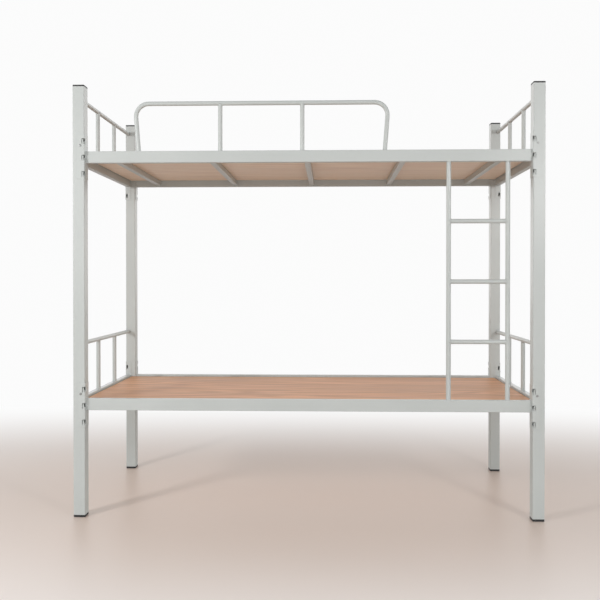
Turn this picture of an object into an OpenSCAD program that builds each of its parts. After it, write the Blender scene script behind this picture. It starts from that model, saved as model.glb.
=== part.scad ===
// Steel bunk bed with a ladder and guard rails.
// Frame: X to the right along the bed, Y from front to back, Z up.
// Origin: on the floor, midway between the four posts.

/* [Overall] */
// Length over the posts
bed_length = 2000; // [1900:10:2200]
// Depth over the posts
bed_depth = 900; // [860:10:1100]
// Height to the top of the post caps
bed_height = 1850; // [1840:5:2000]

/* [Posts] */
// Outside width of the square post tube
post_side = 50; // [48:1:60]
// Wall of the post tube
post_wall = 1.5; // [1.2:0.1:2]
// Outside corner radius of the post tube
post_radius = 3; // [2.5:0.5:4]
// Height of the plastic cap that shows above the tube
cap_height = 7.5; // [5:0.5:10]
// Height of the plastic foot that shows below the tube
foot_height = 10; // [6:0.5:14]

/* [Rails] */
// Height of the rectangular rail tube
rail_height = 50; // [45:1:60]
// Depth of the rectangular rail tube
rail_depth = 25; // [20:1:28]
// Wall of the rail tube
rail_wall = 1.2; // [1:0.1:2]
// Distance of the long rails behind the posts' outer faces
rail_setback = 15; // [10:1:18]
// Height of the upper rails' top edge
upper_rail_top = 1568; // [1540:1:1575]
// Height of the lower rails' top edge
lower_rail_top = 507; // [450:1:560]

/* [Hook plates] */
// Thickness of the pressed plate
plate_thickness = 2; // [1.5:0.1:2.5]
// Height of the plate
plate_height = 190; // [180:1:210]
// Width of the leg that lies on the post's outer face
plate_flange = 32; // [24:1:36]
// Height from one claw to the next
claw_pitch = 70; // [60:1:75]
// Height of the window that each claw is pressed from
window_height = 24; // [22:1:26]
// Width of that window on each leg
window_width = 10.5; // [8:0.5:12]
// Width of the slit that the window leaves beside and above its tongue
slit_width = 2.5; // [1.5:0.1:3.5]

/* [Deck] */
// Number of cross slats under each board
slat_count = 5; // [3:1:7]
// Distance from one slat to the next
slat_pitch = 412; // [200:1:420]
// Side of the square slat tube
slat_side = 25; // [20:1:30]
// Distance from the rails' top edge down to the slats
slat_drop = 18; // [15:1:20]
// Thickness of the plywood board
board_thickness = 9; // [6:1:12]

/* [Guards] */
// Diameter of the guard uprights and of the front guard tube
guard_tube = 19; // [16:0.5:22]
// Height of the front guard above its rail
front_guard_height = 213; // [180:1:260]
// Distance from one leg of the front guard to the next
front_guard_pitch = 351; // [250:1:380]
// Place of the front guard's left leg along the bed
front_guard_left = -722; // [-800:1:-600]
// Sideways lean of the front guard's outer legs, as a part of their length
front_guard_lean = 0.07584; // [0:0.00001:0.1]
// Centreline radius of the front guard's bends
front_guard_bend = 55; // [45:1:70]
// Diameter of the end guards' top tube
end_tube = 19; // [16:0.5:24]
// Height of the end tube's centre above the end rail
end_guard_height = 233; // [200:1:260]

/* [Ladder] */
// Diameter of the ladder's stiles
stile_tube = 20; // [19:0.5:24]
// Place of the left stile along the bed
ladder_left = 601; // [500:1:640]
// Distance from one stile to the other
ladder_width = 249; // [200:1:280]
// Number of rungs
rung_count = 3; // [2:1:4]
// Diameter of the rungs
rung_tube = 19; // [16:0.5:20]
// Height of the first rung above the lower rail
first_rung = 247; // [180:1:280]
// Distance from one rung to the next
rung_pitch = 256; // [180:1:280]

/* [Hidden] */
$fn = 48;
thin_wall = 1.2;
rail_radius = 2;
slat_radius = 2;
fit_gap = 0.3;
spigot_depth = 22;
cap_chamfer = 2;
half_length = bed_length / 2;
half_depth = bed_depth / 2;
rail_y = half_depth - rail_setback - rail_depth / 2;
end_rail_x = half_length - rail_depth / 2;
long_rail_length = bed_length - 2 * post_side - 2 * plate_thickness;
end_rail_length = bed_depth - 2 * post_side - 2 * plate_thickness;
rail_tops = [upper_rail_top, lower_rail_top];

// The claws sit a little below the rail's middle height
claw_offset = -5;
claw_heights = [for (i = [-1:1]) claw_offset + i * claw_pitch];
claw_width = 3;
tongue_width = 5;
claw_step = 4;
claw_bridge = 6;
claw_nose = 10;
claw_reach = [4.2, 7.2];
slot_margin = 0.5;
bend_inside = 1.5;
long_seat = rail_setback + rail_depth + 5;
end_seat = rail_depth + 2;

// Safety bolt: M5 with a flanged hexagonal head
bolt_radius = 2.5;
bolt_hole_radius = 2.8;
bolt_head_radius = 4.6;
bolt_head_height = 4;
bolt_flange_radius = 5.2;
bolt_flange_height = 1;
bolt_length = 14;
bolt_inset = 17.5;
bolt_height = 47.5;

slat_xs = [for (i = [0:slat_count - 1]) (i - (slat_count - 1) / 2) * slat_pitch];
slat_length = 2 * (rail_y - rail_depth / 2);
board_gap_x = 5;
board_gap_y = 2;
board_radius = 4;
board_length = bed_length - 2 * rail_depth - 2 * board_gap_x;
board_depth = bed_depth - 2 * post_side - 2 * board_gap_y;

plug_flange = 3.5;
end_bar_y = (half_depth - post_side) / 3;
front_guard_legs = 4;
front_guard_axis = upper_rail_top + front_guard_height - guard_tube / 2;
splay = asin(front_guard_lean);
bend_height = front_guard_height - guard_tube / 2 - front_guard_bend;
bend_inset = front_guard_bend / cos(splay) - bend_height * tan(splay);
bend_left = front_guard_left + bend_inset;
top_span = (front_guard_legs - 1) * front_guard_pitch - 2 * bend_inset;

SIDES = [["left", -1], ["right", 1]];
FACES = [["front", -1], ["back", 1]];
LEVELS = [["upper", 0], ["lower", 1]];
CORNERS = [for (f = FACES) for (s = SIDES) [str(f[0], "_", s[0]), s[1], f[1]]];
SLATS = [for (l = LEVELS) for (i = [0:slat_count - 1]) [str(l[0], "_", i + 1), l[1], i]];
RUNGS = [for (i = [0:rung_count - 1]) [str(i + 1), i]];

module paint() { color([0.77, 0.78, 0.74]) children(); }
module black_plastic() { color([0.06, 0.06, 0.06]) children(); }
module zinc() { color([0.68, 0.69, 0.7]) children(); }
module plywood() { color([0.72, 0.52, 0.38]) children(); }

// Everything at a corner is drawn for the front left one and mirrored from there
module at_corner(side, face) {
    mirror([side > 0 ? 1 : 0, 0, 0])
        mirror([0, face > 0 ? 1 : 0, 0])
            children();
}

module rounded_square(width, depth, radius) {
    square([width - 2 * radius, depth], center = true);
    square([width, depth - 2 * radius], center = true);
    for (x = [-1, 1], y = [-1, 1])
        translate([x * (width / 2 - radius), y * (depth / 2 - radius)]) circle(radius);
}

// Rectangular tube standing along Z, centred on X and Y
module box_tube(width, depth, length, wall, radius) {
    linear_extrude(length) difference() {
        rounded_square(width, depth, radius);
        rounded_square(width - 2 * wall, depth - 2 * wall, radius - wall + 0.5);
    }
}

// Round tube standing along Z
module round_tube(diameter, length) {
    difference() {
        cylinder(d = diameter, h = length);
        translate([0, 0, -1]) cylinder(d = diameter - 2 * thin_wall, h = length + 2);
    }
}

// Places a hook joint: the origin is the post's corner at the rail's middle height, +X runs
// over the outer face away from the rail, and +Y over the face that the rail leaves from
module at_long_joint(level) {
    translate([-half_length + post_side, -half_depth, rail_tops[level] - rail_height / 2])
        mirror([1, 0, 0])
            children();
}

module at_end_joint(level) {
    translate([-half_length, -half_depth + post_side, rail_tops[level] - rail_height / 2])
        rotate(-90)
            children();
}

module post_slots() {
    slot = window_width + slot_margin;
    bottom = -window_height / 2 + claw_step;
    for (z = claw_heights)
        translate([-1, -1, z + bottom]) cube([slot + 1, slot + 1, window_height - claw_step]);
    translate([bolt_inset, -1, bolt_height])
        rotate([-90, 0, 0])
            cylinder(r = bolt_hole_radius, h = post_wall + 2);
}

module post() {
    centre = [-half_length + post_side / 2, -half_depth + post_side / 2, foot_height];
    paint() difference() {
        translate(centre)
            box_tube(post_side, post_side, bed_height - foot_height - cap_height, post_wall, post_radius);
        for (level = [0, 1]) {
            at_long_joint(level) post_slots();
            at_end_joint(level) post_slots();
        }
    }
}

// Plastic cap, standing with its spigot down
module plastic_cap(height) {
    spigot = post_side - 2 * post_wall - 2 * fit_gap;
    skin = 0.1;
    hull() {
        linear_extrude(height - cap_chamfer) rounded_square(post_side, post_side, post_radius);
        translate([0, 0, height - skin])
            linear_extrude(skin)
                rounded_square(post_side - 2 * cap_chamfer, post_side - 2 * cap_chamfer, post_radius);
    }
    translate([0, 0, -spigot_depth])
        linear_extrude(spigot_depth)
            difference() {
                rounded_square(spigot, spigot, post_radius);
                square(spigot - 6, center = true);
            }
}

module post_cap() {
    black_plastic()
        translate([-half_length + post_side / 2, -half_depth + post_side / 2, bed_height - cap_height])
            plastic_cap(cap_height);
}

module post_foot() {
    black_plastic()
        translate([-half_length + post_side / 2, -half_depth + post_side / 2, foot_height])
            mirror([0, 0, 1])
                plastic_cap(foot_height);
}

module long_rail(level, face) {
    paint()
        translate([-long_rail_length / 2, face * rail_y, rail_tops[level] - rail_height / 2])
            rotate([0, 90, 0])
                box_tube(rail_height, rail_depth, long_rail_length, rail_wall, rail_radius);
}

module end_rail(level, side) {
    paint()
        translate([side * end_rail_x, end_rail_length / 2, rail_tops[level] - rail_height / 2])
            rotate([90, 0, 0])
                box_tube(rail_depth, rail_height, end_rail_length, rail_wall, rail_radius);
}

// One claw: a tab on the plate's corner that steps through the slot and hooks down behind it
module claw() {
    bottom = -window_height / 2;
    ledge = bottom + claw_step;
    top = ledge + claw_bridge;
    rotate(45)
        rotate([90, 0, 0])
            translate([0, 0, -claw_width / 2])
                linear_extrude(claw_width)
                    polygon([
                        [-1, bottom - 1],
                        [-1, top],
                        [claw_reach[1], top],
                        [claw_reach[1], ledge - claw_nose],
                        [claw_reach[0], ledge - claw_nose],
                        [claw_reach[0], ledge],
                        [0.6, ledge],
                        [0.6, bottom - 1]
                    ]);
}

// The window that a claw is pressed from: open round the corner, with a flat tongue left on the outer leg
module claw_window() {
    outside = bend_inside + plate_thickness;
    side = window_width + outside;
    translate([-outside, -outside, -window_height / 2]) difference() {
        cube([side, side, window_height]);
        translate([side - slit_width - tongue_width, -1, -1])
            cube([tongue_width, outside + 1, window_height - slit_width + 1]);
    }
}

module hook_plate(seat) {
    outside = bend_inside + plate_thickness;
    difference() {
        translate([0, 0, -plate_height / 2]) linear_extrude(plate_height) {
            translate([bend_inside, -plate_thickness]) square([plate_flange - bend_inside, plate_thickness]);
            translate([-plate_thickness, bend_inside]) square([plate_thickness, seat - bend_inside]);
            translate([bend_inside, bend_inside]) intersection() {
                difference() {
                    circle(outside);
                    circle(bend_inside);
                }
                translate([-outside, -outside]) square(outside);
            }
        }
        for (z = claw_heights) translate([0, 0, z]) claw_window();
        translate([bolt_inset, -outside, bolt_height])
            rotate([-90, 0, 0])
                cylinder(r = bolt_hole_radius, h = outside + 1);
    }
    for (z = claw_heights) translate([0, 0, z]) claw();
}

module long_hook_plates(level, face) {
    paint() for (side = [-1, 1]) at_corner(side, face) at_long_joint(level) hook_plate(long_seat);
}

module end_hook_plates(level, side) {
    paint() for (face = [-1, 1]) at_corner(side, face) at_end_joint(level) hook_plate(end_seat);
}

module safety_bolt() {
    translate([bolt_inset, -plate_thickness, bolt_height]) rotate([-90, 0, 0]) {
        translate([0, 0, -bolt_head_height]) cylinder(r = bolt_head_radius, h = bolt_head_height, $fn = 6);
        translate([0, 0, -bolt_flange_height]) cylinder(r = bolt_flange_radius, h = bolt_flange_height);
        cylinder(r = bolt_radius, h = bolt_length);
    }
}

module safety_bolts() {
    zinc() for (corner = CORNERS, level = [0, 1]) at_corner(corner[1], corner[2]) {
        at_long_joint(level) safety_bolt();
        at_end_joint(level) safety_bolt();
    }
}

module end_guard_tube(level, side) {
    length = bed_depth - 2 * post_side - 2 * plug_flange;
    paint()
        translate([side * end_rail_x, length / 2, rail_tops[level] + end_guard_height])
            rotate([90, 0, 0])
                round_tube(end_tube, length);
}

// Round upright whose top is cut to fit under a tube that lies along X
module saddled_upright(length, over) {
    difference() {
        round_tube(guard_tube, length);
        translate([0, 0, length]) rotate([0, 90, 0]) cylinder(d = over, h = 2 * guard_tube, center = true);
    }
}

module end_guard_bars(level, side) {
    paint() for (y = [-end_bar_y, end_bar_y])
        translate([side * end_rail_x, y, rail_tops[level]])
            rotate(90)
                saddled_upright(end_guard_height, end_tube);
}

module tube_plug() {
    spigot = end_tube - 2 * thin_wall - 2 * fit_gap;
    cylinder(d = end_tube, h = plug_flange);
    translate([0, 0, plug_flange]) cylinder(d = spigot, h = spigot);
}

module tube_plugs() {
    black_plastic() for (corner = CORNERS, level = [0, 1]) at_corner(corner[1], corner[2])
        translate([-end_rail_x, -half_depth + post_side, rail_tops[level] + end_guard_height])
            rotate([-90, 0, 0])
                tube_plug();
}

// Left end of the front guard: a bend about the origin, then a leg that leans in towards its foot
module guard_end(leg) {
    rotate([90, 0, 0])
        rotate(90)
            rotate_extrude(angle = 90 + splay)
                translate([front_guard_bend, 0])
                    difference() {
                        circle(d = guard_tube);
                        circle(d = guard_tube - 2 * thin_wall);
                    }
    rotate([0, -splay, 0])
        translate([-front_guard_bend, 0, -leg])
            round_tube(guard_tube, leg);
}

module guard_tube() {
    leg = front_guard_height + guard_tube;
    paint() difference() {
        translate([bend_left, -rail_y, front_guard_axis - front_guard_bend]) {
            translate([0, 0, front_guard_bend]) rotate([0, 90, 0]) round_tube(guard_tube, top_span);
            guard_end(leg);
            translate([top_span, 0, 0]) mirror([1, 0, 0]) guard_end(leg);
        }
        translate([-half_length, -half_depth, upper_rail_top - 2 * rail_height])
            cube([bed_length, bed_depth, 2 * rail_height]);
    }
}

module guard_bars() {
    paint() for (i = [1:front_guard_legs - 2])
        translate([front_guard_left + i * front_guard_pitch, -rail_y, upper_rail_top])
            saddled_upright(front_guard_axis - upper_rail_top, guard_tube);
}

module ladder_stile(side) {
    length = upper_rail_top - rail_height - lower_rail_top;
    x = ladder_left + (side > 0 ? ladder_width : 0);
    paint() translate([x, -rail_y, lower_rail_top]) round_tube(stile_tube, length);
}

module ladder_rung(index) {
    z = lower_rail_top + first_rung + index * rung_pitch;
    paint() translate([ladder_left, -rail_y, z]) difference() {
        rotate([0, 90, 0]) round_tube(rung_tube, ladder_width);
        for (x = [0, ladder_width]) translate([x, 0, 0]) cylinder(d = stile_tube, h = 2 * rung_tube, center = true);
    }
}

module slat(level, index) {
    paint()
        translate([slat_xs[index], slat_length / 2, rail_tops[level] - slat_drop - slat_side / 2])
            rotate([90, 0, 0])
                box_tube(slat_side, slat_side, slat_length, thin_wall, slat_radius);
}

module board(level) {
    plywood()
        translate([0, 0, rail_tops[level] - slat_drop])
            linear_extrude(board_thickness)
                rounded_square(board_length, board_depth, board_radius);
}

for (c = CORNERS) {
    at_corner(c[1], c[2]) post();
    at_corner(c[1], c[2]) post_cap();
    at_corner(c[1], c[2]) post_foot();
}
for (l = LEVELS, f = FACES) {
    long_rail(l[1], f[1]);
    long_hook_plates(l[1], f[1]);
}
for (l = LEVELS, s = SIDES) {
    end_rail(l[1], s[1]);
    end_hook_plates(l[1], s[1]);
    end_guard_tube(l[1], s[1]);
    end_guard_bars(l[1], s[1]);
}
safety_bolts();
tube_plugs();
guard_tube();
guard_bars();
for (s = SIDES)
    ladder_stile(s[1]);
for (r = RUNGS)
    ladder_rung(r[1]);
for (s = SLATS)
    slat(s[1], s[2]);
for (l = LEVELS)
    board(l[1]);
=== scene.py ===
import math
import random

import bmesh
import bpy
import numpy as np
from mathutils import Matrix, Vector


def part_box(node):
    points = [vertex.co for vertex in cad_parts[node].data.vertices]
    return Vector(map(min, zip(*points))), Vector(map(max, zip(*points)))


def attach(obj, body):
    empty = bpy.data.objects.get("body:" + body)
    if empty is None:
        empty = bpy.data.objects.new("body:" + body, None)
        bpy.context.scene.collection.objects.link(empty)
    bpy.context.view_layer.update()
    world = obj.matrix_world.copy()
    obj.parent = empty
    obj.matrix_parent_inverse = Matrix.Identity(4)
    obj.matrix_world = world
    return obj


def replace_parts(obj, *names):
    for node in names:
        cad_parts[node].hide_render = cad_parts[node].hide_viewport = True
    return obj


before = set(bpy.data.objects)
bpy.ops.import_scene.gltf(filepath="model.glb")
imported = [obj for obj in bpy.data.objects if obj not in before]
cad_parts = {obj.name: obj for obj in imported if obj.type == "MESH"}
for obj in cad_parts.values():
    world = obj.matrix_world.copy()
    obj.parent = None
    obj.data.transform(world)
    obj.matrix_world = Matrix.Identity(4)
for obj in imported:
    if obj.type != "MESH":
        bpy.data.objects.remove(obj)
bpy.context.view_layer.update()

MM = 0.001
SEED = 7
SIDES = {"left": -1, "right": 1}
FACES = ("front", "back")
LEVELS = ("upper", "lower")
CORNERS = [(face, side) for face in FACES for side in SIDES]
RUNGS = sorted(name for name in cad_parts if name.startswith("ladder_rung"))
X_AXIS, Y_AXIS, Z_AXIS = Vector((1, 0, 0)), Vector((0, 1, 0)), Vector((0, 0, 1))
BOARD_THICKNESS = 9 * MM
PLIES = 5
BACKDROP = (0.97, 0.97, 0.97)


# ---------------------------------------------------------------- node helpers

def set_inputs(node, inputs):
    """Gives each named input a constant, or links it if the value is a socket."""
    for name, value in inputs.items():
        socket = node.inputs[name]
        if isinstance(value, bpy.types.NodeSocket):
            node.id_data.links.new(value, socket)
        else:
            socket.default_value = value


def add_node(tree, kind, inputs=None, **settings):
    node = tree.nodes.new("ShaderNode" + kind)
    for name, value in settings.items():
        setattr(node, name, value)
    set_inputs(node, inputs or {})
    return node


def object_place(tree, stretch=(1, 1, 1), shift=(0, 0, 0)):
    """A point's place in metres, scaled along each axis."""
    place = add_node(tree, "TexCoord").outputs["Object"]
    mapping = add_node(tree, "Mapping", {"Vector": place, "Scale": stretch, "Location": shift})
    return mapping.outputs["Vector"]


def noise(tree, place, scale, detail=3, roughness=0.5, distortion=0):
    inputs = {"Vector": place, "Scale": scale, "Detail": detail,
              "Roughness": roughness, "Distortion": distortion}
    return add_node(tree, "TexNoise", inputs).outputs["Fac"]


def math_node(tree, operation, first, second=0.0):
    node = add_node(tree, "Math", operation=operation)
    set_inputs(node, {0: first, 1: second})
    return node.outputs[0]


def remap(tree, value, low, high, new_low=0.0, new_high=1.0):
    node = add_node(tree, "MapRange", {"Value": value, "From Min": low, "From Max": high,
                                       "To Min": new_low, "To Max": new_high})
    return node.outputs["Result"]


def mix_colours(tree, factor, first, second):
    node = add_node(tree, "Mix", data_type="RGBA")
    set_inputs(node, {0: factor, 6: first, 7: second})
    return node.outputs[2]


def blend_values(tree, factor, first, second):
    node = add_node(tree, "Mix", data_type="FLOAT")
    set_inputs(node, {0: factor, 2: first, 3: second})
    return node.outputs[0]


def multiply_add(tree, value, factor, addend):
    node = add_node(tree, "Math", operation="MULTIPLY_ADD")
    set_inputs(node, {0: value, 1: factor, 2: addend})
    return node.outputs[0]


def bump(tree, height, strength, distance):
    inputs = {"Height": height, "Strength": strength, "Distance": distance}
    return add_node(tree, "Bump", inputs).outputs["Normal"]


def rgb(red, green, blue):
    return (red, green, blue, 1.0)


def new_material(name, **constants):
    """A material with a Principled shader, and the values that are the same all over it."""
    material = bpy.data.materials.new(name)
    material.use_nodes = True
    tree = material.node_tree
    shader = tree.nodes["Principled BSDF"]
    set_inputs(shader, {key.replace("_", " "): value for key, value in constants.items()})
    return material, tree, shader


# ---------------------------------------------------------------- materials

def powder_coat():
    """Satin grey powder coat: slow drift of tone, mottle, fine grain, faint scuffs, orange peel."""
    material, tree, shader = new_material("powder_coat")
    place = object_place(tree)
    drift = noise(tree, place, 2.3, 2)
    mottle = noise(tree, place, 60, 4, 0.6)
    grain = noise(tree, place, 1400, 2)
    scuffs = noise(tree, object_place(tree, (1, 1, 0.35)), 130, 3, 0.7, 1.5)
    colour = mix_colours(tree, remap(tree, drift, 0.1, 0.9), rgb(0.467, 0.494, 0.482),
                         rgb(0.540, 0.566, 0.555))
    colour = mix_colours(tree, remap(tree, mottle, 0.5, 0.8, 0, 0.12), colour,
                         rgb(0.44, 0.455, 0.44))
    colour = mix_colours(tree, remap(tree, grain, 0.35, 0.65, 0, 0.10), colour,
                         rgb(0.62, 0.63, 0.6))
    colour = mix_colours(tree, remap(tree, scuffs, 0.70, 0.76, 0, 0.3), colour,
                         rgb(0.36, 0.36, 0.35))
    roughness = remap(tree, drift, 0.1, 0.9, 0.285, 0.345)
    normal = bump(tree, noise(tree, place, 420, 2), 0.03, 0.3 * MM)
    set_inputs(shader, {"Base Color": colour, "Roughness": roughness, "Normal": normal})
    return material


def black_plastic():
    """Matt black moulded plastic with a fine grained surface."""
    material, tree, shader = new_material("moulded_plastic")
    place = object_place(tree)
    cloud = noise(tree, place, 60, 3)
    texture = noise(tree, place, 2200, 2)
    colour = mix_colours(tree, cloud, rgb(0.012, 0.012, 0.013), rgb(0.024, 0.024, 0.025))
    roughness = remap(tree, cloud, 0.3, 0.7, 0.42, 0.6)
    normal = bump(tree, texture, 0.2, 0.1 * MM)
    set_inputs(shader, {"Base Color": colour, "Roughness": roughness, "Normal": normal})
    return material


def zinc_plate():
    """Dull bright-zinc plate, from slightly yellow to blue-grey patches."""
    material, tree, shader = new_material("zinc_plate", Metallic=0.9)
    place = object_place(tree)
    cloud = noise(tree, place, 300, 3)
    colour = mix_colours(tree, remap(tree, cloud, 0.35, 0.65), rgb(0.30, 0.30, 0.285),
                         rgb(0.43, 0.435, 0.44))
    roughness = remap(tree, cloud, 0.3, 0.7, 0.38, 0.55)
    set_inputs(shader, {"Base Color": colour, "Roughness": roughness})
    return material


FIGURE_LINES = 70
FIGURE_STRENGTH = 0.095
GLOSS_SPREAD = 0.07


def veneer(name, dark, light, patch, pore, roughness):
    """Rotary-cut veneer: a wavy figure along the bed, which is the contours of a slow field, over
    streaks, broad patches and fine pores."""
    material, tree, shader = new_material(name)
    wander = noise(tree, object_place(tree, (0.8, 2.5, 2.5)), 2.0, 2)
    field = noise(tree, object_place(tree, (0.45, 3.2, 3.2), (3.1, 0.7, 0)), 1.3, 2, 0.45, 0.4)
    contour = math_node(tree, "SINE", math_node(tree, "MULTIPLY", field, FIGURE_LINES))
    streaks = noise(tree, object_place(tree, (0.55, 9, 9)), 2.4, 4, 0.62, 0.9)
    fine = noise(tree, object_place(tree, (5, 160, 160)), 2.5, 3, 0.6)
    figure = multiply_add(tree, contour, FIGURE_STRENGTH, streaks)
    colour = mix_colours(tree, remap(tree, figure, 0.30, 0.70), dark, light)
    colour = mix_colours(tree, remap(tree, wander, 0.40, 0.66, 0, 0.7), colour, patch)
    colour = mix_colours(tree, remap(tree, fine, 0.5, 0.75, 0, 0.35), colour, pore)
    gloss = remap(tree, streaks, 0.3, 0.7, roughness - GLOSS_SPREAD, roughness + GLOSS_SPREAD)
    normal = bump(tree, fine, 0.15, 0.2 * MM)
    set_inputs(shader, {"Base Color": colour, "Roughness": gloss, "Normal": normal})
    return material


def plywood_edge():
    """Sawn edge: pale and dark plies in turn, with end-grain specks."""
    material, tree, shader = new_material("plywood_edge", Roughness=0.85)
    place = object_place(tree)
    height = add_node(tree, "SeparateXYZ", {0: place}).outputs["Z"]
    specks = noise(tree, object_place(tree, (500, 500, 1500)), 1.0, 3, 0.6)
    wobble = noise(tree, place, 30, 2)
    two_plies = 2 * BOARD_THICKNESS / PLIES
    turn = multiply_add(tree, height, 2 * math.pi / two_plies, wobble)
    band = remap(tree, math_node(tree, "SINE", turn), -0.3, 0.3)
    colour = mix_colours(tree, band, rgb(0.30, 0.18, 0.11), rgb(0.60, 0.42, 0.29))
    colour = mix_colours(tree, remap(tree, specks, 0.5, 0.7, 0, 0.5), colour,
                         rgb(0.2, 0.12, 0.08))
    set_inputs(shader, {"Base Color": colour, "Normal": bump(tree, specks, 0.4, 0.3 * MM)})
    return material


def studio_floor():
    """Pale polished floor that the camera sees fade into the white backdrop away from the bed.
    The light it throws back is less warm than the floor itself, as in a room with white walls."""
    material, tree, shader = new_material("studio_floor", Roughness=0.4)
    place = object_place(tree, (0.45, 1, 1))
    distance = add_node(tree, "VectorMath", {0: place}, operation="LENGTH").outputs["Value"]
    tone = noise(tree, place, 1.5, 3)
    colour = mix_colours(tree, tone, rgb(0.695, 0.580, 0.508), rgb(0.74, 0.617, 0.545))
    camera_ray = add_node(tree, "LightPath").outputs["Is Camera Ray"]
    colour = mix_colours(tree, camera_ray, rgb(0.66, 0.60, 0.555), colour)
    set_inputs(shader, {"Base Color": colour})
    glow = add_node(tree, "Emission", {"Color": rgb(*BACKDROP), "Strength": 1.0})
    fade = add_node(tree, "MapRange", {"Value": distance, "From Min": 0.5, "From Max": 2.6},
                    interpolation_type="SMOOTHSTEP").outputs["Result"]
    seen = math_node(tree, "MULTIPLY", fade, camera_ray)
    blend = add_node(tree, "MixShader")
    set_inputs(blend, {0: seen, 1: shader.outputs["BSDF"], 2: glow.outputs["Emission"]})
    output = tree.nodes["Material Output"]
    tree.links.new(blend.outputs[0], output.inputs["Surface"])
    return material


PAINT = powder_coat()
BLACK = black_plastic()
ZINC = zinc_plate()
FACE_VENEER = veneer("veneer_face", rgb(0.50, 0.232, 0.108), rgb(0.820, 0.450, 0.243),
                     rgb(0.57, 0.285, 0.133), rgb(0.38, 0.165, 0.075), 0.52)
# The back veneer is the face veneer made much paler and greyer. This is painted light standing in
# for light thrown up from the floor onto the boards' undersides, plus a painted whitish sheen.
PAINTED_LIGHT_BACK_VENEER = veneer("veneer_back_painted_light", rgb(0.79, 0.580, 0.42), rgb(0.96, 0.77, 0.60),
                     rgb(0.87, 0.70, 0.54), rgb(0.62, 0.44, 0.33), 0.36)
PLY_EDGE = plywood_edge()
FINISHES = {"paint": PAINT, "black_plastic": BLACK, "zinc": ZINC, "plywood": FACE_VENEER}

for cad_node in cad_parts.values():
    for slot in cad_node.material_slots:
        slot.material = FINISHES[slot.material.name]


# ---------------------------------------------------------------- mesh helpers

SOLID_TOUCH = 0.001 * MM
CORNER_STEPS = 6


def mesh_piece(name, bm, materials, body, sharp_angle=35):
    """Turns a bmesh into a piece that rides on a body, with the given materials in its slots."""
    bmesh.ops.recalc_face_normals(bm, faces=bm.faces)
    mesh = bpy.data.meshes.new(name)
    bm.to_mesh(mesh)
    bm.free()
    for material in materials:
        mesh.materials.append(material)
    mesh.shade_smooth()
    mesh.set_sharp_from_angle(angle=math.radians(sharp_angle))
    piece = bpy.data.objects.new(name, mesh)
    bpy.context.scene.collection.objects.link(piece)
    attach(piece, body)
    return piece


def node_solids(name):
    """(lowest corner, highest corner) of each separate solid of a CAD node."""
    bm = bmesh.new()
    bm.from_mesh(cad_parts[name].data)
    bmesh.ops.remove_doubles(bm, verts=bm.verts, dist=SOLID_TOUCH)
    solids, seen = [], set()
    for start in bm.verts:
        if start in seen:
            continue
        seen.add(start)
        island, queue = [], [start]
        while queue:
            vert = queue.pop()
            island.append(vert.co)
            for edge in vert.link_edges:
                other = edge.other_vert(vert)
                if other not in seen:
                    seen.add(other)
                    queue.append(other)
        corners = np.array(island)
        solids.append((Vector(corners.min(0)), Vector(corners.max(0))))
    bm.free()
    return solids


def middle(box):
    return (box[0] + box[1]) / 2


def bridge(bm, first, second):
    """Quads between two closed rings of the same number of vertices."""
    for i in range(len(first)):
        j = (i + 1) % len(first)
        bm.faces.new((first[i], first[j], second[j], second[i]))


def lofted(bm, rings, place):
    """A closed solid through a list of rings of points, moved to its place."""
    rows = [[bm.verts.new(place @ Vector(point)) for point in ring] for ring in rings]
    for first, second in zip(rows, rows[1:]):
        bridge(bm, first, second)
    bm.faces.new(rows[0])
    bm.faces.new(list(reversed(rows[-1])))


def full_turn(count):
    """Even angles round a circle."""
    return [2 * math.pi * i / count for i in range(count)]


def circle_ring(radius, height, count=32):
    return [(radius * math.cos(turn), radius * math.sin(turn), height) for turn in full_turn(count)]


def square_ring(half, radius, height):
    """A square with rounded corners, at a height."""
    points = []
    for quarter in range(4):
        centre = Vector((half - radius, half - radius, 0))
        turn = Matrix.Rotation(quarter * math.pi / 2, 3, "Z")
        for step in range(CORNER_STEPS + 1):
            angle = step / CORNER_STEPS * math.pi / 2
            corner = centre + radius * Vector((math.cos(angle), math.sin(angle), 0))
            points.append(turn @ corner + Vector((0, 0, height)))
    return points


# ---------------------------------------------------------------- weld beads

BEAD_RADIUS = 2.1 * MM
BEAD_RIPPLE = 2.4 * MM
BEAD_SIDES = 8
STEPS_PER_RIPPLE = 4
RIPPLE_DEPTH = 0.2
BEAD_VARIATION = (0.93, 1.05)
BLUNT_END = 0.06
END_SQUARENESS = 8
RAIL_BEAD_RADIUS = 0.8 * BEAD_RADIUS
JOINT_STEPS = 60
WELD_SHARP_ANGLE = 60
SLAT_BEAD_INSET = 3 * MM


def evenly_spaced(points, spacing, closed):
    """The same path with points at an even distance."""
    if closed:
        points = points + points[:1]
    lengths = [0.0]
    for first, second in zip(points, points[1:]):
        lengths.append(lengths[-1] + (second - first).length)
    count = max(3, round(lengths[-1] / spacing))
    marks = np.linspace(0, lengths[-1], count + 1)[: count if closed else count + 1]
    axes = [np.interp(marks, lengths, [point[axis] for point in points]) for axis in range(3)]
    return [Vector(point) for point in zip(*axes)]


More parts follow.
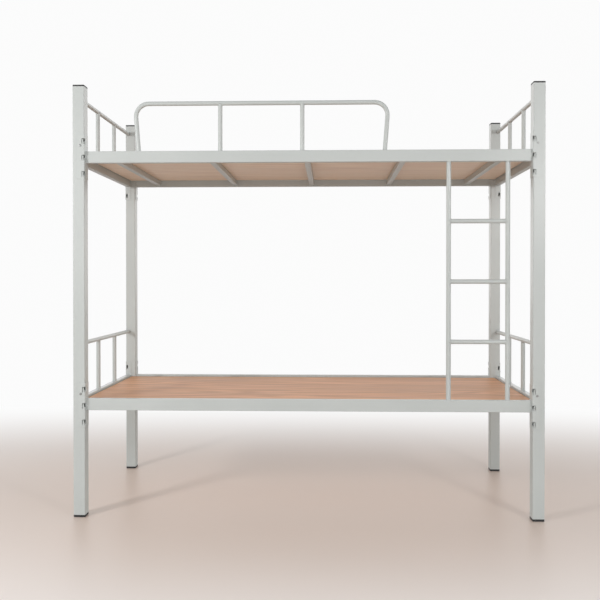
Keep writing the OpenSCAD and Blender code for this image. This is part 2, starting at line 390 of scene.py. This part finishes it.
def weld_bead(bm, points, across, chance, closed=True, radius=BEAD_RADIUS):
    """A bead along a path, with a ridge at each ripple. Its section stands square to the path."""
    path = evenly_spaced(points, BEAD_RIPPLE / STEPS_PER_RIPPLE, closed)
    last = len(path) - 1
    rows = []
    for i, point in enumerate(path):
        before = path[i - 1] if closed or i > 0 else point
        after = path[(i + 1) % len(path)] if closed or i < last else point
        along = (after - before).normalized()
        side = (across - along * across.dot(along)).normalized()
        other = along.cross(side)
        ripple = 1 - RIPPLE_DEPTH * (i % STEPS_PER_RIPPLE) / STEPS_PER_RIPPLE
        fullness = 1 if closed else 1 - (2 * i / last - 1) ** END_SQUARENESS
        taper = math.sqrt(max(BLUNT_END, fullness))
        size = radius * ripple * taper * chance.uniform(*BEAD_VARIATION)
        rows.append([bm.verts.new(point + size * (math.cos(turn) * side + math.sin(turn) * other))
                     for turn in full_turn(BEAD_SIDES)])
    for first, second in zip(rows, rows[1:]):
        bridge(bm, first, second)
    if closed:
        bridge(bm, rows[-1], rows[0])
    else:
        bm.faces.new(rows[0])
        bm.faces.new(list(reversed(rows[-1])))


def tube_foot(centre, axis, radius):
    """The circle where a round tube stands on a flat face."""
    side = axis.orthogonal().normalized()
    other = axis.cross(side)
    return [centre + radius * (math.cos(turn) * side + math.sin(turn) * other)
            for turn in full_turn(JOINT_STEPS)]


def tube_saddle(centre, axis, radius, cross_axis, cross_radius):
    """The curve where a round tube meets another one square to it, with the centre on the
    other's axis."""
    side = axis.cross(cross_axis)
    points = []
    for turn in full_turn(JOINT_STEPS):
        offset = radius * math.sin(turn)
        depth = math.sqrt(max(0.0, cross_radius ** 2 - offset ** 2))
        points.append(centre + radius * math.cos(turn) * cross_axis + offset * side + depth * axis)
    return points


def weld_piece(name, bm):
    mesh_piece(name, bm, [PAINT], "frame", WELD_SHARP_ANGLE)


def upright_welds(bm, solid, cross_axis, cross_radius, cross_height, chance):
    """Beads at the foot of a round upright and where its top meets the tube above."""
    low, high = solid
    radius = (high.x - low.x) / 2
    foot = middle(solid)
    foot.z = low.z
    top = Vector((foot.x, foot.y, cross_height))
    weld_bead(bm, tube_foot(foot, Z_AXIS, radius), Z_AXIS, chance)
    weld_bead(bm, tube_saddle(top, -Z_AXIS, radius, cross_axis, cross_radius), Z_AXIS, chance)


def end_guard_welds(level, side, chance):
    """Beads at both ends of an end guard's uprights."""
    bm = bmesh.new()
    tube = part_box(f"end_tube_{level}_{side}")
    radius = (tube[1].x - tube[0].x) / 2
    for solid in node_solids(f"end_bars_{level}_{side}"):
        upright_welds(bm, solid, Y_AXIS, radius, middle(tube).z, chance)
    weld_piece(f"welds_end_guard_{level}_{side}", bm)


def front_guard_welds(chance):
    """Beads at both ends of the front guard's uprights and round the feet of its bent tube."""
    bm = bmesh.new()
    bars = node_solids("guard_bars")
    radius = (bars[0][1].x - bars[0][0].x) / 2
    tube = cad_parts["guard_tube"].data
    heights = [vert.co.z for vert in tube.vertices]
    near_foot = min(heights) + 0.1 * MM
    for solid in bars:
        upright_welds(bm, solid, X_AXIS, radius, max(heights) - radius, chance)
    for side in SIDES.values():
        ring = [v.co for v in tube.vertices if v.co.z < near_foot and v.co.x * side > 0]
        low, high = np.array(ring).min(0), np.array(ring).max(0)
        foot = Vector((low + high) / 2)
        weld_bead(bm, tube_foot(foot, Z_AXIS, radius), Z_AXIS, chance)
    weld_piece("welds_front_guard", bm)


def ladder_welds(chance):
    """Beads at the stiles' ends, against the long rails, and at the rungs' ends."""
    bm = bmesh.new()
    for side in SIDES:
        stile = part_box(f"ladder_stile_{side}")
        radius = (stile[1].x - stile[0].x) / 2
        for end in stile:
            foot = Vector((*middle(stile).xy, end.z))
            weld_bead(bm, tube_foot(foot, Z_AXIS, radius), Z_AXIS, chance)
        for rung_name in RUNGS:
            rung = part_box(rung_name)
            joint = Vector((*middle(stile).xy, middle(rung).z))
            inward = -SIDES[side] * X_AXIS
            rung_radius = (rung[1].z - rung[0].z) / 2
            weld_bead(bm, tube_saddle(joint, inward, rung_radius, Z_AXIS, radius), X_AXIS, chance)
    weld_piece("welds_ladder", bm)


def slat_welds(level, chance):
    """Two short upright beads at each end of each slat, against the long rails."""
    bm = bmesh.new()
    for name in sorted(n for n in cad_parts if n.startswith(f"slat_{level}")):
        low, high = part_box(name)
        for x in (low.x, high.x):
            for y in (low.y, high.y):
                start = low.z + SLAT_BEAD_INSET + chance.uniform(0, 2) * MM
                end = high.z - SLAT_BEAD_INSET - chance.uniform(0, 3) * MM
                line = [Vector((x, y, start)), Vector((x, y, end))]
                weld_bead(bm, line, X_AXIS, chance, closed=False)
    weld_piece(f"welds_slats_{level}", bm)


def rail_welds(level, chance):
    """A bead round each rail's end, where it meets its hook plate."""
    bm = bmesh.new()
    for place in (*FACES, *SIDES):
        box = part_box(f"rail_{level}_{place}")
        size, centre = box[1] - box[0], middle(box)
        axis, across = (0, 1) if place in FACES else (1, 0)
        along = (X_AXIS, Y_AXIS)[axis]
        half_width = size[across] / 2 * (X_AXIS, Y_AXIS)[across]
        half_height = size.z / 2 * Z_AXIS
        for end in box:
            middle_of_end = centre.copy()
            middle_of_end[axis] = end[axis]
            corners = [(1, 1), (-1, 1), (-1, -1), (1, -1)]
            ring = [middle_of_end + a * half_width + b * half_height for a, b in corners]
            weld_bead(bm, ring, along, chance, radius=RAIL_BEAD_RADIUS)
    weld_piece(f"welds_rails_{level}", bm)


# ---------------------------------------------------------------- plastic mouldings

def moulded_cap(bm, place, half, height, crown):
    """A post's plastic end: a hollow spigot in the tube, a shadow gap, a skirt, a rounded shoulder
    and a flat or slightly crowned end with a gate mark. The tube's end is at z = 0."""
    corner = 3 * MM
    gap, gap_height = 0.7 * MM, 0.6 * MM
    shoulder, shoulder_steps = 2.4 * MM, 5
    spigot, spigot_depth, lead_in = half - 1.9 * MM, 22 * MM, 3 * MM
    hollow = spigot - 3 * MM
    profile = [(hollow, -2 * MM), (hollow, -spigot_depth), (spigot - 0.6 * MM, -spigot_depth),
               (spigot, -spigot_depth + lead_in), (spigot, 0), (half - gap, 0),
               (half - gap, gap_height), (half - 0.15 * MM, gap_height + 0.1 * MM),
               (half, gap_height + 0.5 * MM), (half - 0.1 * MM, height - shoulder)]
    for step in range(1, shoulder_steps + 1):
        turn = step / shoulder_steps * math.pi / 2
        profile.append((half - shoulder * (1 - math.cos(turn)),
                        height - crown - shoulder * (1 - math.sin(turn))))
    rings = [square_ring(size, corner, z) for size, z in profile]
    for share in (0.7, 0.45, 0.25):
        rings.append(square_ring(half * share, half * share / 3, height - crown * share ** 2))
    gate, gate_depth = 2.5 * MM, 0.4 * MM
    rings += [square_ring(gate, gate * 0.98, height),
              square_ring(gate * 0.9, gate * 0.85, height - gate_depth)]
    lofted(bm, rings, place)


def post_end(kind, face, side):
    """The cap or the foot of one post, from its CAD node's box."""
    name = f"{kind}_{face}_{side}"
    post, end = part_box(f"post_{face}_{side}"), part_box(name)
    half = (post[1].x - post[0].x) / 2
    centre = middle(post)
    crown = 0.5 * MM
    bm = bmesh.new()
    if kind == "cap":
        place = Matrix.Translation((centre.x, centre.y, post[1].z))
        moulded_cap(bm, place, half, end[1].z - post[1].z, crown)
    else:
        turned = Matrix.Rotation(math.pi, 4, "X")
        place = Matrix.Translation((centre.x, centre.y, post[0].z)) @ turned
        moulded_cap(bm, place, half, post[0].z - end[0].z, 0)
    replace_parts(mesh_piece(f"moulded_{name}", bm, [BLACK], "frame"), name)


def outward_axis(solid):
    """The X or Y direction that a fastener's long axis takes, pointing out of the bed."""
    size, centre = solid[1] - solid[0], middle(solid)
    axis = 0 if size.x > size.y else 1
    direction = Vector((0, 0, 0))
    direction[axis] = math.copysign(1, centre[axis])
    return axis, direction


def placed_along(origin, direction):
    """A frame at a point whose Z runs along a direction."""
    turn = direction.to_track_quat("Z", "Y").to_matrix().to_4x4()
    return Matrix.Translation(origin) @ turn


def tube_plug_pieces():
    """The plastic ends of the end guards' tubes: a flange with soft edges on a spigot."""
    bm = bmesh.new()
    for solid in node_solids("tube_plugs"):
        low, high = solid
        radius = (high.x - low.x) / 2
        outward = math.copysign(1, middle(solid).y) * Y_AXIS
        origin = middle(solid)
        origin.y = max(abs(low.y), abs(high.y)) * outward.y
        length = high.y - low.y
        soft, flange, lead_in = 0.5 * MM, 3.5 * MM, 1 * MM
        spigot = radius - 1.5 * MM
        profile = [(radius - soft, 0), (radius, soft), (radius, flange - soft),
                   (radius - soft, flange), (spigot, flange), (spigot, length - lead_in),
                   (spigot - lead_in, length)]
        rings = [circle_ring(size, height) for size, height in profile]
        lofted(bm, rings, placed_along(origin, -outward))
    piece = mesh_piece("moulded_tube_plugs", bm, [BLACK], "frame")
    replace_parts(piece, "tube_plugs")


# ---------------------------------------------------------------- bolts

BOLT_STEPS = 36
THREAD_STEPS = 16
THREAD_PITCH = 0.8 * MM
BOLT_HEAD_HEIGHT = 4 * MM


def hexagon_ring(half_flats, height, chamfer_from=None):
    """A hexagon, or the wavy edge that a 30 degree chamfer leaves on it."""
    points = []
    for turn in full_turn(BOLT_STEPS):
        within = (turn + math.pi / 6) % (math.pi / 3) - math.pi / 6
        radius = half_flats / math.cos(within)
        drop = 0 if chamfer_from is None else max(0, radius - chamfer_from) * math.tan(math.pi / 6)
        points.append((radius * math.cos(turn), radius * math.sin(turn), height - drop))
    return points


def hex_bolt(bm, place, length):
    """Flanged hexagonal head with a chamfered, dished top, and a threaded shank below z = 0."""
    half_flats, shank = 4 * MM, 2.5 * MM
    neck, dish_rim, dish_floor = half_flats * 0.94, half_flats * 0.75, half_flats * 0.68
    thread_root, thread_end = shank * 0.86, shank * 0.7
    washer, washer_height, soft = 5.2 * MM, 1 * MM, 0.15 * MM
    top, dish = BOLT_HEAD_HEIGHT, 0.25 * MM
    profile = [(washer - soft, 0), (washer, soft), (washer, washer_height - soft),
               (washer - soft, washer_height)]
    lofted(bm, [circle_ring(size, z, BOLT_STEPS) for size, z in profile], place)
    head = [circle_ring(neck, washer_height, BOLT_STEPS),
            circle_ring(neck, washer_height + 0.25 * MM, BOLT_STEPS),
            hexagon_ring(half_flats, washer_height + 0.3 * MM),
            hexagon_ring(half_flats, top, half_flats * 0.97),
            circle_ring(neck, top, BOLT_STEPS),
            circle_ring(dish_rim, top, BOLT_STEPS),
            circle_ring(dish_floor, top - dish, BOLT_STEPS)]
    lofted(bm, head, place)
    shank_length = length - top
    thread = []
    for turn in range(int(shank_length / THREAD_PITCH) - 1):
        thread += [(thread_root, -turn * THREAD_PITCH), (shank, -(turn + 0.5) * THREAD_PITCH)]
    thread.append((thread_end, -shank_length))
    lofted(bm, [circle_ring(size, z, THREAD_STEPS) for size, z in thread], place)


def safety_bolt_pieces():
    """The flanged bolts through the hook plates."""
    bm = bmesh.new()
    for solid in node_solids("safety_bolts"):
        axis, outward = outward_axis(solid)
        length = solid[1][axis] - solid[0][axis]
        top = max(abs(solid[0][axis]), abs(solid[1][axis]))
        origin = middle(solid)
        origin[axis] = (top - BOLT_HEAD_HEIGHT) * outward[axis]
        hex_bolt(bm, placed_along(origin, outward), length)
    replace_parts(mesh_piece("hex_bolts", bm, [ZINC], "frame"), "safety_bolts")


# ---------------------------------------------------------------- plywood boards

BOARD_CORNER = 4 * MM
EDGE_CELL = 12 * MM
SOFT_EDGE = 0.4 * MM
FACE_SWELL = 0.1 * MM
PLY_BOTTOM, PLY_TOP = 0.08, 0.92
PLY_INSETS_MM = (0.02, 0.12)
BOTTOM_INSET_MM = 0.08
SAW_ROUGHNESS_MM = 0.1
BACK_INDEX, EDGE_INDEX = 1, 2
STEEP = 0.7


def rounded_corner(x, y, half_x, half_y):
    """Moves a point of the square corner onto the rounded one."""
    straight_x, straight_y = half_x - BOARD_CORNER, half_y - BOARD_CORNER
    u = (abs(x) - straight_x) / BOARD_CORNER
    v = (abs(y) - straight_y) / BOARD_CORNER
    if u <= 0 or v <= 0:
        return x, y
    round_x = straight_x + BOARD_CORNER * u * math.sqrt(1 - v * v / 2)
    round_y = straight_y + BOARD_CORNER * v * math.sqrt(1 - u * u / 2)
    return math.copysign(round_x, x), math.copysign(round_y, y)


def grid_marks(half):
    """Marks along a side: finer at the rounded corner, then even cells."""
    straight = half - BOARD_CORNER
    corner = [half - BOARD_CORNER * share for share in (0, 0.25, 0.5, 0.75, 1)]
    count = round(straight / EDGE_CELL)
    inner = [straight * i / count for i in range(count)]
    positive = sorted(inner + corner)
    return [-mark for mark in reversed(positive) if mark > 0] + positive


def border_of(rows):
    """The values along the border of a grid, in order."""
    border = [row[0] for row in rows]
    border += rows[-1][1:]
    border += [row[-1] for row in reversed(rows[:-1])]
    border += reversed(rows[0][1:-1])
    return border


def plywood_board(level, chance):
    """A plywood sheet: a flat back, a very slightly uneven face, and sawn edges whose plies stand
    a little in and out."""
    name = f"board_{level}"
    low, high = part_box(name)
    centre = middle((low, high))
    half_x, half_y = (high.x - low.x) / 2, (high.y - low.y) / 2
    marks = [[(x, y) for y in grid_marks(half_y)] for x in grid_marks(half_x)]
    bm = bmesh.new()
    waves = [(chance.uniform(2, 7), chance.uniform(4, 14), chance.uniform(0, 6)) for _ in range(6)]

    def wave(x, y):
        return sum(math.sin(a * x + b * y + c) for a, b, c in waves) / len(waves)

    def vertex(mark, z, swell, inset):
        x, y = rounded_corner(*mark, half_x, half_y)
        x -= math.copysign(inset, x) if abs(mark[0]) == half_x else 0
        y -= math.copysign(inset, y) if abs(mark[1]) == half_y else 0
        return bm.verts.new((centre.x + x, centre.y + y, z + swell * wave(x, y)))

    def sheet(z, swell):
        """A face of cells. Returns its border."""
        rows = [[vertex(mark, z, swell, SOFT_EDGE) for mark in row] for row in marks]
        for first, second in zip(rows, rows[1:]):
            for j in range(len(first) - 1):
                bm.faces.new((first[j], second[j], second[j + 1], first[j + 1]))
        return border_of(rows)

    previous = sheet(low.z, 0)
    top = sheet(high.z - FACE_SWELL, FACE_SWELL)
    ply = (high.z - low.z - 2 * SOFT_EDGE) / PLIES
    for layer in range(PLIES):
        for height in (PLY_BOTTOM, PLY_TOP):
            z = low.z + SOFT_EDGE + (layer + height) * ply
            extra = BOTTOM_INSET_MM if height == PLY_BOTTOM else 0
            ring = []
            for mark in border_of(marks):
                inset = PLY_INSETS_MM[layer % 2] + chance.uniform(0, SAW_ROUGHNESS_MM) + extra
                ring.append(vertex(mark, z, 0, inset * MM))
            bridge(bm, previous, ring)
            previous = ring
    bridge(bm, previous, top)
    bm.normal_update()
    for face in bm.faces:
        if abs(face.normal.z) < STEEP:
            face.material_index = EDGE_INDEX
        # Underside faces take the back veneer, whose paler colour is painted light from below.
        elif face.calc_center_median().z < centre.z:
            face.material_index = BACK_INDEX
    piece = mesh_piece(f"plywood_{level}", bm, [FACE_VENEER, PAINTED_LIGHT_BACK_VENEER, PLY_EDGE],
                       f"{level}_board")
    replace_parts(piece, name)


# ---------------------------------------------------------------- everything in its place

dice = random.Random(SEED)
front_guard_welds(dice)
ladder_welds(dice)
for level in LEVELS:
    rail_welds(level, dice)
    slat_welds(level, dice)
    plywood_board(level, dice)
    for side in SIDES:
        end_guard_welds(level, side, dice)
for face, side in CORNERS:
    post_end("cap", face, side)
    post_end("foot", face, side)
tube_plug_pieces()
safety_bolt_pieces()


# ---------------------------------------------------------------- stage

BED_MIDDLE = Vector((0, 0, 0.9))
FLOOR_HALF = 30
REAR_WALL_LIGHT = 1.55
FRONT_LIGHT_LOW, FRONT_LIGHT_HIGH = 0.85, 1.12
CEILING_LIGHT = 0.36


def softbox(name, place, width, height, power):
    """A rectangular light that faces the middle of the bed."""
    light = bpy.data.lights.new(name, "AREA")
    light.shape = "RECTANGLE"
    light.size = width
    light.size_y = height
    light.energy = power
    obj = bpy.data.objects.new(name, light)
    obj.location = place
    obj.rotation_euler = (BED_MIDDLE - Vector(place)).to_track_quat("-Z", "Y").to_euler()
    bpy.context.scene.collection.objects.link(obj)


def studio_world():
    """Even white backdrop for the camera. The bed is lit by a bright wall behind it, a dimmer front
    that brightens with height, and a dim ceiling."""
    world = bpy.data.worlds.new("studio")
    world.use_nodes = True
    bpy.context.scene.world = world
    tree = world.node_tree
    seen = tree.nodes["Background"]
    set_inputs(seen, {"Color": rgb(*BACKDROP), "Strength": 1.0})
    direction = add_node(tree, "SeparateXYZ", {0: add_node(tree, "TexCoord").outputs["Generated"]})
    behind = remap(tree, direction.outputs["Y"], -0.3, 0.3)
    front = remap(tree, direction.outputs["Z"], 0.2, 0.4, FRONT_LIGHT_LOW, FRONT_LIGHT_HIGH)
    overhead = remap(tree, direction.outputs["Z"], 0.15, 0.75)
    walls = blend_values(tree, behind, front, REAR_WALL_LIGHT)
    light = blend_values(tree, overhead, walls, CEILING_LIGHT)
    dome = add_node(tree, "Background", {"Color": rgb(1, 1, 1), "Strength": light})
    to_camera = add_node(tree, "LightPath").outputs["Is Camera Ray"]
    blend = add_node(tree, "MixShader")
    set_inputs(blend, {0: to_camera, 1: dome.outputs[0], 2: seen.outputs[0]})
    tree.links.new(blend.outputs[0], tree.nodes["World Output"].inputs["Surface"])


def studio_floor_plate():
    mesh = bpy.data.meshes.new("floor")
    corners = [(-1, -1), (1, -1), (1, 1), (-1, 1)]
    mesh.from_pydata([(x * FLOOR_HALF, y * FLOOR_HALF, 0) for x, y in corners], [], [(0, 1, 2, 3)])
    mesh.materials.append(studio_floor())
    floor = bpy.data.objects.new("floor", mesh)
    bpy.context.scene.collection.objects.link(floor)


def studio_camera():
    camera = bpy.data.cameras.new("camera")
    camera.lens = 45.81
    camera.sensor_width = 36
    camera.shift_x = -0.0097
    camera.shift_y = -0.0211
    camera.clip_end = 200
    obj = bpy.data.objects.new("camera", camera)
    obj.location = (0.098, -3.6798, 1.016)
    tilt_down, turn_left = 0.542, 1.81
    obj.rotation_euler = (math.radians(90 - tilt_down), 0, math.radians(turn_left))
    bpy.context.scene.collection.objects.link(obj)
    bpy.context.scene.camera = obj


studio_world()
studio_floor_plate()
studio_camera()
softbox("key_left", (-2.6, -2.6, 1.8), 0.4, 0.4, 40)
softbox("fill_right", (2.3, -3.5, 1.8), 0.4, 0.4, 30)
softbox("fill_low", (0.1, -4.2, 0.6), 4.6, 0.8, 15)
bpy.context.scene.view_settings.view_transform = "Standard"
